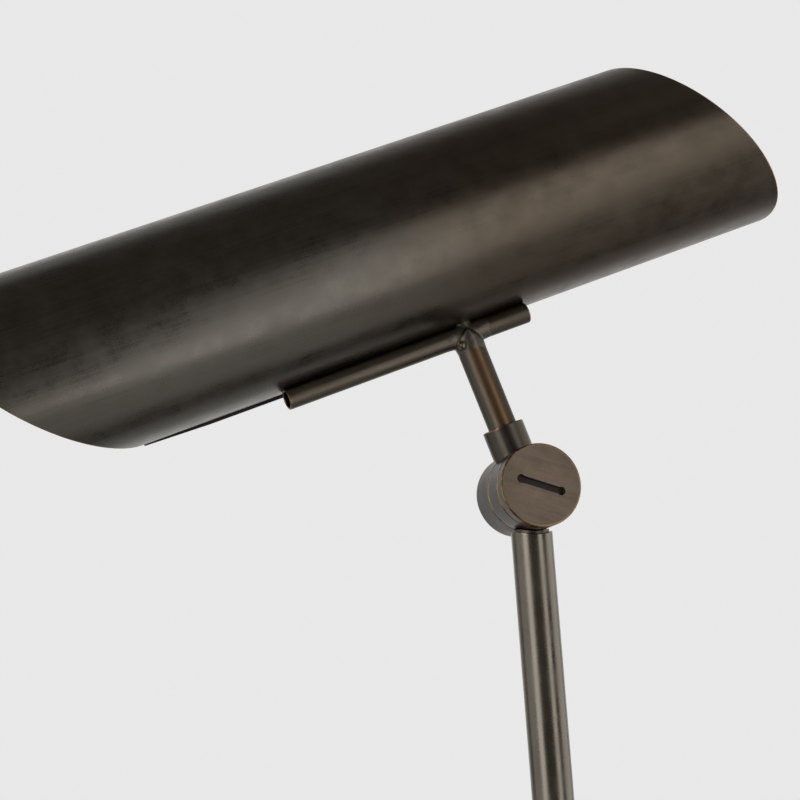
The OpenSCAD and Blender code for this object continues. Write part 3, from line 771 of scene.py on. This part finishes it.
def braze():
    """The lumpy fillet that joins stem and bar, with its drop and a saddle round the lead."""
    top = EAR_TOP + BRAZE_OVER
    foot_r, full_r = STEM_R - BRAZE_IN, STEM_R + BRAZE_OUT
    bm = lathe([(0, BRAZE_LOW), (foot_r, BRAZE_LOW), (full_r, BRAZE_FULL), (full_r, top), (0, top)])
    for vert in bm.verts:
        if vert.co.z > EAR_TOP:
            vert.co.z -= EAR_SLOPE * abs(vert.co.x - BRAZE_RIDGE)
    tip_r, waist_r = BAR_R - BRAZE_BAR_IN, BAR_R + BRAZE_BAR_OUT
    along = lathe([(0, -BRAZE_REACH), (tip_r, -BRAZE_REACH), (waist_r, -BRAZE_WAIST),
                   (waist_r, BRAZE_WAIST), (tip_r, BRAZE_REACH), (0, BRAZE_REACH)])
    turned(along, ALONG_X, shift(0, 0, STEM_REACH))
    bm = combine(bm, along, "UNION")
    bm = combine(bm, rod(LEAD_R + SADDLE, STEM_REACH, AXIS_Z - SHADE_R + PAST), "UNION")
    drop = bmesh.new()
    bmesh.ops.create_icosphere(drop, subdivisions=3, radius=DROP_R, matrix=Matrix.Translation(DROP_AT))
    bm = melt(combine(bm, drop, "UNION"), MELT_GRAIN, MELT_ROUNDS)
    for vert in bm.verts:
        lump = sum(noise.noise(vert.co * pitch) * height for pitch, height in LUMPS)
        vert.co += vert.normal * lump
    bm = combine(bm, rod(STEM_R - STEM_WALL, BRAZE_BORE_LOW, STEM_REACH), "DIFFERENCE")
    bm = combine(bm, rod(LEAD_R + FIT, STEM_REACH - OVER, AXIS_Z), "DIFFERENCE")
    bm = combine(bm, bar_core(BAR_R - BAR_WALL, 3 * STEM_R), "DIFFERENCE")
    under = turned(rod(SHADE_R + FIT, -3 * STEM_R, 3 * STEM_R), ALONG_X, shift(0, SHADE_BACK, AXIS_Z))
    bm = worn_rims(combine(bm, under, "DIFFERENCE"))
    wear = bm.verts.layers.float[WEAR]
    # Round the drop's middle the finish runs to brass: wear, and a painted highlight on the bump as well.
    for vert in bm.verts:
        vert[wear] = max(0.0, DROP_WEAR_AND_HIGHLIGHT - (vert.co - DROP_AT).length / DROP_R)
    return bm


piece("bar_pipe", turned(tube(BAR_R, BAR_WALL, BAR_LEFT, BAR_RIGHT, EASED), ALONG_X), "lampshade",
      bar_bronze, ["cross_bar"], BAR)
piece("stem_pipe", stem_pipe(), "lampshade", stem_bronze, ["stem_tube"], STEM)
piece("braze_fillet", braze(), "lampshade", braze_bronze, ["joint_braze"], STEM)


# Knuckles
def disc(front, back):
    """A turned disc about Y with the screw's bore."""
    bore = SCREW_R + FIT
    outline = [(bore, front), (DISC_R, front, DISC_EDGE), (DISC_R, back, DISC_EDGE), (bore, back)]
    return turned(lathe(outline, closed=True), ALONG_Y)


def clamp_screw():
    """The slotted cap with its shank, turned in one piece."""
    bm = lathe([(0, CAP_FRONT), (DISC_R, CAP_FRONT, CAP_EDGE), (DISC_R, CAP_BACK, DISC_EDGE),
                (SCREW_R, CAP_BACK), (SCREW_R, SCREW_END, SCREW_EDGE), (0, SCREW_END)])
    turned(bm, ALONG_Y)
    floor = CAP_FRONT + SLOT_DEPTH
    slot = bmesh.new()
    bmesh.ops.create_cube(slot, size=1.0)
    slot_size = Matrix.Diagonal((2 * SLOT_REACH, SLOT_DEPTH + PAST, SLOT_W, 1))
    turned(slot, slot_size, shift(0, floor - (SLOT_DEPTH + PAST) / 2, 0))
    for side in (-1, 1):
        end = rod(SLOT_END_R, CAP_FRONT - PAST, floor, turns=SMALL_TURNS)
        slot = combine(slot, turned(end, ALONG_Y, shift(side * SLOT_REACH, 0, 0)), "UNION")
    slot_turn = Matrix.Rotation(SLOT_TURN, 4, "Y")
    bm = combine(bm, turned(slot, slot_turn), "DIFFERENCE")
    # Faces sunk in the slot take the second material, which paints shade into the slot.
    for face in bm.faces:
        centre = slot_turn.inverted() @ face.calc_center_median()
        sunk = CAP_FRONT + TINY < centre.y < CAP_BACK - OVER
        along, across = SLOT_REACH + 2 * SLOT_END_R, SLOT_END_R + SLOT_MARGIN
        if sunk and abs(centre.x) < along and abs(centre.z) < across:
            face.material_index = 1
    return worn_rims(bm, ("Y", DISC_R, CAP_FRONT, CAP_EDGE), ("Y", DISC_R, CAP_BACK, DISC_EDGE))


def tilt_disc(collar_r, collar_top, tube_r):
    """The disc that tilts, with the collar that takes a tube."""
    bm = disc(TILT_FRONT, TILT_BACK)
    collar = lathe([(0, SCREW_R + PAST), (collar_r, SCREW_R + PAST), (collar_r, COLLAR_CLEAR + OVER),
                    (collar_r, collar_top, COLLAR_EDGE), (0, collar_top)])
    room = turned(rod(COLLAR_CLEAR, TILT_BACK, collar_r + PAST), ALONG_Y)
    collar = combine(collar, room, "DIFFERENCE")
    bm = combine(bm, collar, "UNION")
    bm = combine(bm, rod(tube_r + FIT, BORE_FLOOR, collar_top + PAST), "DIFFERENCE")
    return worn_rims(bm, ("Y", DISC_R, TILT_FRONT, DISC_EDGE), ("Y", DISC_R, TILT_BACK, DISC_EDGE),
                     ("Z", collar_r, collar_top, COLLAR_EDGE))


def fixed_disc(plug_r, neck_r):
    """The disc that stays, with the neck and the plug that seat it in a tube."""
    bm = disc(FIXED_FRONT, FIXED_BACK)
    neck = rod(neck_r, -PLUG_DROP - OVER, -SCREW_R - PAST)
    room = turned(rod(COLLAR_CLEAR, -neck_r - PAST, FIXED_FRONT), ALONG_Y)
    bm = combine(bm, combine(neck, room, "DIFFERENCE"), "UNION")
    bm = combine(bm, rod(plug_r, -PLUG_DROP - PLUG_LEN, -PLUG_DROP, PLUG_EDGE), "UNION")
    return worn_rims(bm, ("Y", DISC_R, FIXED_FRONT, DISC_EDGE), ("Y", DISC_R, FIXED_BACK, DISC_EDGE))


piece("upper_cap", clamp_screw(), "upper_clamp", upper_disc_bronze,
      ["upper_clamp_screw"], UPPER, slot_painted_shade)
piece("lower_cap", clamp_screw(), "lower_clamp", lower_disc_bronze,
      ["lower_clamp_screw"], LOWER, slot_painted_shade)
piece("head_collar", tilt_disc(HEAD_COLLAR_R, HEAD_COLLAR_TOP, STEM_R), "head", head_bronze,
      ["upper_tilt_disc"], STEM)
piece("arm_collar", tilt_disc(ARM_COLLAR_R, ARM_COLLAR_TOP, ARM_R), "arm", arm_collar_bronze,
      ["lower_tilt_disc"], ARM)
piece("upper_back_disc", fixed_disc(ARM_PLUG_R, ARM_PLUG_R), "arm", upper_rim_bronze,
      ["upper_fixed_disc"], ARM_END)
piece("lower_back_disc", fixed_disc(HOUSING_PLUG_R, HOUSING_NECK_R), "base", lower_rim_bronze,
      ["lower_fixed_disc"], LOWER)


# Arm, post, switch housing and base
def arm_pipe():
    """The arm's tube, coped round the upper knuckle."""
    top = arm_len - COPE_R
    bm = tube(ARM_R, ARM_WALL, BORE_FLOOR, top, EASED)
    for vert in bm.verts:
        if vert.co.z > top - RIM_BAND:
            vert.co.z += COPE_R - sqrt(COPE_R ** 2 - vert.co.x ** 2)
    return bm


piece("arm_pipe", arm_pipe(), "arm", arm_bronze, ["arm_tube"], ARM)
piece("post_pipe", tube(POST_R, POST_WALL, BASE_H, POST_TOP, CRISP), "base", post_bronze,
      ["post_tube"])


def base_shell():
    """The spun cover over the weight, with the hole for the inlet in its rim."""
    inner = BASE_R - COVER_WALL
    roof = BASE_H - COVER_WALL
    bm = lathe([(COVER_BORE_R, BASE_H, CRISP), (BASE_R, BASE_H, COVER_EDGE), (BASE_R, COVER_LIFT, EASED),
                (inner, COVER_LIFT, EASED), (inner, roof, COVER_EDGE - COVER_WALL),
                (COVER_BORE_R, roof, CRISP)], closed=True, turns=COVER_TURNS)
    inlet = rod(INLET_HOLE_R, BASE_R - 2 * COVER_EDGE, BASE_R + PAST, turns=SMALL_TURNS)
    turned(inlet, ALONG_Y, shift(0, 0, INLET_Z))
    return worn_rims(combine(bm, inlet, "DIFFERENCE"))


def foot_flange():
    """The stepped collar at the foot of the post."""
    bore = POST_R + FIT
    step, top = BASE_H + FLANGE_STEP, BASE_H + FLANGE_H
    foot, rim, ledge, lip = FLANGE_EDGES
    return lathe([(bore, BASE_H), (FLANGE_R, BASE_H, foot), (FLANGE_R, step, rim),
                  (FLANGE_STEP_R, step, ledge), (FLANGE_TOP_R, top, lip), (bore, top, EASED)], closed=True)


piece("base_shell", base_shell(), "base", base_bronze, ["base_cover"])
piece("felt_pad", rod(FELT_R, 0, FELT_T, FELT_EDGE, FELT_TURNS), "base", felt, ["base_felt"])
piece("foot_flange", foot_flange(), "base", base_bronze, ["post_flange"])


def housing():
    """The switch housing, from its outline: post seat, room for the switch and seat of the lower knuckle."""
    post_seat_r, plug_seat_r = POST_R + FIT, HOUSING_PLUG_R + FIT
    plug_seat, floor = HOUSING_TOP - PLUG_LEN, POST_TOP + WEB_T
    bm = lathe([(post_seat_r, HOUSING_LOW, EASED), (HOUSING_R, HOUSING_LOW, HOUSING_EDGE),
                (HOUSING_R, HOUSING_TOP, HOUSING_EDGE), (plug_seat_r, HOUSING_TOP, EASED),
                (plug_seat_r, plug_seat), (HOUSING_BORE_R, plug_seat), (HOUSING_BORE_R, floor),
                (WEB_R, floor), (WEB_R, POST_TOP), (post_seat_r, POST_TOP)], closed=True)
    flat = rod(FLAT_R, -HOUSING_R - PAST, FLAT_Y, turns=FLAT_TURNS)
    hole = rod(NECK_HOLE_R, -HOUSING_R - PAST, -HOUSING_R / 2, turns=HOLE_TURNS)
    for cut in (flat, hole):
        bm = combine(bm, turned(cut, ALONG_Y, shift(0, 0, knob_z)), "DIFFERENCE")
    return worn_rims(bm, *[("Z", HOUSING_R, end, HOUSING_EDGE) for end in (HOUSING_LOW, HOUSING_TOP)])


piece("housing_shell", housing(), "base", post_bronze, ["switch_housing"])


def knob():
    """The dimmer's knob: turned, hollowed behind and fluted round its grip."""
    bm = lathe([(0, KNOB_FRONT), (KNOB_R, KNOB_FRONT, KNOB_FRONT_EDGE), (KNOB_R, KNOB_BACK, KNOB_BACK_EDGE),
                (POCKET_R, KNOB_BACK, EASED), (POCKET_R, POCKET_END), (SHAFT_HOLE_R, POCKET_END),
                (SHAFT_HOLE_R, KNOB_FRONT + KNOB_FACE), (0, KNOB_FRONT + KNOB_FACE)])
    turned(bm, ALONG_Y)
    flutes = bmesh.new()
    at_rim = shift(KNOB_R + FLUTE_OUT, FLUTE_MIDDLE, 0) @ ALONG_Y
    for flute in range(KNOB_FLUTES):
        turn = Matrix.Rotation((flute + 0.5) * 2 * pi / KNOB_FLUTES, 4, "Y")
        bmesh.ops.create_cone(flutes, cap_ends=True, segments=FLUTE_TURNS, radius1=FLUTE_R, radius2=FLUTE_R,
                              depth=FLUTE_LEN, matrix=turn @ at_rim)
    bm = combine(bm, flutes, "DIFFERENCE")
    return worn_rims(bm, ("Y", KNOB_R, KNOB_FRONT, KNOB_FRONT_EDGE), ("Y", KNOB_R, KNOB_BACK, KNOB_BACK_EDGE))


def inlet_bushing():
    """The headed bushing in the rim of the cover."""
    under, head = BASE_R + FIT, BASE_R + BUSHING_HEAD
    bm = lathe([(BUSHING_BORE_R, BUSHING_END, EASED), (BUSHING_R, BUSHING_END, EASED), (BUSHING_R, under),
                (BUSHING_HEAD_R, under, EASED), (BUSHING_HEAD_R, head, BUSHING_RIM),
                (BUSHING_BORE_R, head, BUSHING_MOUTH)], closed=True, turns=HOLE_TURNS)
    return turned(bm, ALONG_Y, shift(0, 0, INLET_Z))


piece("grip_knob", knob(), "dimmer", knob_bronze, ["dimmer_knob"], KNOB)
piece("inlet_bushing", inlet_bushing(), "base", rubber, ["cord_bushing"])


# Lamp inside the shade
def bulb():
    """The tubular bulb's glass: round end, barrel, shoulder and neck."""
    tip = SOCKET_MOUTH - BULB_LEN
    shoulder, neck = SOCKET_MOUTH - BULB_SHOULDER, SOCKET_MOUTH - BULB_NECK
    bm = lathe([(0, tip), (BULB_R, tip, BULB_END), (BULB_R, shoulder, BULB_BEND),
                (BULB_NECK_R, neck, BULB_BEND), (BULB_NECK_R, SOCKET_MOUTH, EASED),
                (0, SOCKET_MOUTH)], turns=BULB_TURNS)
    return turned(bm, ALONG_X)


def lampholder():
    """The porcelain holder, with a groove round it, the bulb's bore and the nipple's hole."""
    near, far = (SOCKET_MOUTH + place for place in GROOVE_SPAN)
    inside, outside = MOUTH_EDGES
    bm = lathe([(SOCKET_BORE_R, SOCKET_MOUTH, inside), (SOCKET_R, SOCKET_MOUTH, outside),
                (SOCKET_R, near, GROOVE_EDGE), (GROOVE_R, near + GROOVE_SLOPE, GROOVE_BED),
                (GROOVE_R, far - GROOVE_SLOPE, GROOVE_BED), (SOCKET_R, far, GROOVE_EDGE),
                (SOCKET_R, SOCKET_END, SOCKET_EDGE), (NIPPLE_HOLE_R, SOCKET_END),
                (NIPPLE_HOLE_R, SOCKET_END - NIPPLE_HOLE), (SOCKET_BORE_R, SOCKET_MOUTH + SOCKET_BORE)],
               closed=True)
    return turned(bm, ALONG_X)


piece("frosted_bulb", bulb(), "lampshade", frosted, ["bulb_glass"], LAMP)
piece("porcelain_holder", lampholder(), "lampshade", porcelain, ["socket_body"], LAMP)

# CAD pieces that show as they are
dress(brass, "upper_washers", "lower_washers", "base_stud", "post_plug", "switch_nut", "socket_nipple",
      "socket_nut", "socket_contact")
dress(steel, "base_washer", "base_nut", "dimmer_shaft", "knob_set_screw", "arm_set_screw", "swivel_screw",
      "socket_bracket")
dress(iron, "base_weight")
dress(phenolic, "switch_body")
dress(nylon, "stem_bushing")
dress(lead_sleeve, "arm_lead", "stem_lead")
dress(rubber, "lead_grommet")
dress(aluminium, "bulb_cap")

# Studio: sizes in metres, tones as linear light
PALE = 0.81
SKY_FILL = 0.4
MATTE = 0.8
BLACK = colour(0, 0, 0)
FLOOR_BASE = colour(0.3, 0.3, 0.3)
FLOOR_GLOW = colour(0.66, 0.66, 0.66)
FLOOR_HALF = 6.0
ROOM_R = 3.2
ROOM_GAP = 0.2
DARK_GLOW = colour(0.088, 0.078, 0.070)
GREY_GLOW = colour(0.36, 0.36, 0.36)
CAMERA_OFFSET = Vector((-0.3504, -1.0188, -0.1664))
CAMERA_TURN = (radians(100.87), 0.0, radians(-16.01))
CAMERA_LENS = 112.5
CAMERA_SENSOR = 36.0

camera_data = bpy.data.cameras.new("camera")
camera_data.lens = CAMERA_LENS
camera_data.sensor_width = CAMERA_SENSOR
camera = bpy.data.objects.new("camera", camera_data)
camera.location = upper_pivot + CAMERA_OFFSET
camera.rotation_euler = CAMERA_TURN
bpy.context.collection.objects.link(camera)
bpy.context.scene.camera = camera
bpy.context.scene.view_settings.view_transform = "Standard"


def area_light(name, width, height, radiance, place, turn):
    """A soft light of a given brightness that the camera doesn't see."""
    data = bpy.data.lights.new(name, "AREA")
    data.shape = "RECTANGLE"
    data.size = width
    data.size_y = height
    data.energy = radiance * pi * width * height
    obj = bpy.data.objects.new(name, data)
    obj.location = place
    obj.rotation_euler = turn
    obj.visible_camera = False
    bpy.context.collection.objects.link(obj)


def softbox(name, azimuth, distance, width, low, high, radiance, lean=0):
    """A tall light that faces the lamp.

    azimuth turns it from the front to the right, and lean takes its foot there, both in degrees.
    """
    turn = radians(azimuth)
    place = (sin(turn) * distance, -cos(turn) * distance, (low + high) / 2)
    upright = Matrix.Rotation(turn, 3, "Z") @ Matrix.Rotation(pi / 2, 3, "X")
    facing = upright @ Matrix.Rotation(radians(lean), 3, "Z")
    area_light(name, width, high - low, radiance, place, facing.to_euler())


softbox("right_softbox", azimuth=27.5, distance=1.5, width=0.55, low=0.05, high=1.9, radiance=1.52, lean=9)
softbox("left_softbox", azimuth=-60, distance=1.5, width=0.7, low=0.4, high=2.2, radiance=1.75)
softbox("right_wall", azimuth=84, distance=2.0, width=1.7, low=0.2, high=2.0, radiance=1.0)
softbox("left_wall", azimuth=-102, distance=2.0, width=1.7, low=0.05, high=2.0, radiance=0.5)
area_light("floor_glow", width=1.1, height=1.9, radiance=0.42, place=(0.8, -0.75, 0.02), turn=(pi, 0, 0))
area_light("ceiling_glow", width=1.6, height=1.8, radiance=0.14, place=(0.95, -0.5, 2.9), turn=(0, 0, 0))


def stage_object(name, bm, base, glow):
    """A backdrop object with an even tone: a matte surface and its own light."""
    mesh = bpy.data.meshes.new(name)
    bm.to_mesh(mesh)
    bm.free()
    material = bpy.data.materials.new(name)
    material.use_nodes = True
    shader = material.node_tree.nodes["Principled BSDF"]
    shader.inputs["Base Color"].default_value = base
    shader.inputs["Roughness"].default_value = MATTE
    shader.inputs["Emission Color"].default_value = glow
    shader.inputs["Emission Strength"].default_value = 1.0
    mesh.materials.append(material)
    obj = bpy.data.objects.new(name, mesh)
    bpy.context.collection.objects.link(obj)
    return obj


floor_bm = bmesh.new()
bmesh.ops.create_grid(floor_bm, x_segments=1, y_segments=1, size=FLOOR_HALF)
floor = stage_object("floor", floor_bm, FLOOR_BASE, FLOOR_GLOW)
floor.visible_glossy = False


def room(name, radius, reach, glow):
    """A round wall behind the camera that only reflections see; reach is how many degrees it goes round."""
    to_camera = CAMERA_OFFSET.normalized()
    bm = bmesh.new()
    bmesh.ops.create_uvsphere(bm, u_segments=48, v_segments=24, radius=radius)
    bmesh.ops.translate(bm, verts=bm.verts[:], vec=upper_pivot)
    edge = upper_pivot + to_camera * radius * cos(radians(reach))
    bmesh.ops.bisect_plane(bm, geom=bm.verts[:] + bm.edges[:] + bm.faces[:],
                           plane_no=to_camera, plane_co=edge, clear_inner=True)
    wall = stage_object(name, bm, BLACK, glow)
    wall.visible_camera = False
    wall.visible_diffuse = False
    wall.visible_transmission = False
    wall.visible_shadow = False


room("dark_room", radius=ROOM_R, reach=118, glow=DARK_GLOW)
room("grey_room", radius=ROOM_R + ROOM_GAP, reach=140, glow=GREY_GLOW)

world = bpy.data.worlds.new("studio")
bpy.context.scene.world = world
world.use_nodes = True
sky = world.node_tree
background = sky.nodes["Background"]
rays = add(sky, "LightPath").outputs
seen = calc(sky, "MAXIMUM", calc(sky, "MAXIMUM", rays["Is Camera Ray"], rays["Is Glossy Ray"]),
            rays["Is Transmission Ray"])
level = add(sky, "MapRange", {"Value": seen, "To Min": SKY_FILL, "To Max": PALE}).outputs[0]
background.inputs["Color"].default_value = colour(1, 1, 1)
sky.links.new(level, background.inputs["Strength"])
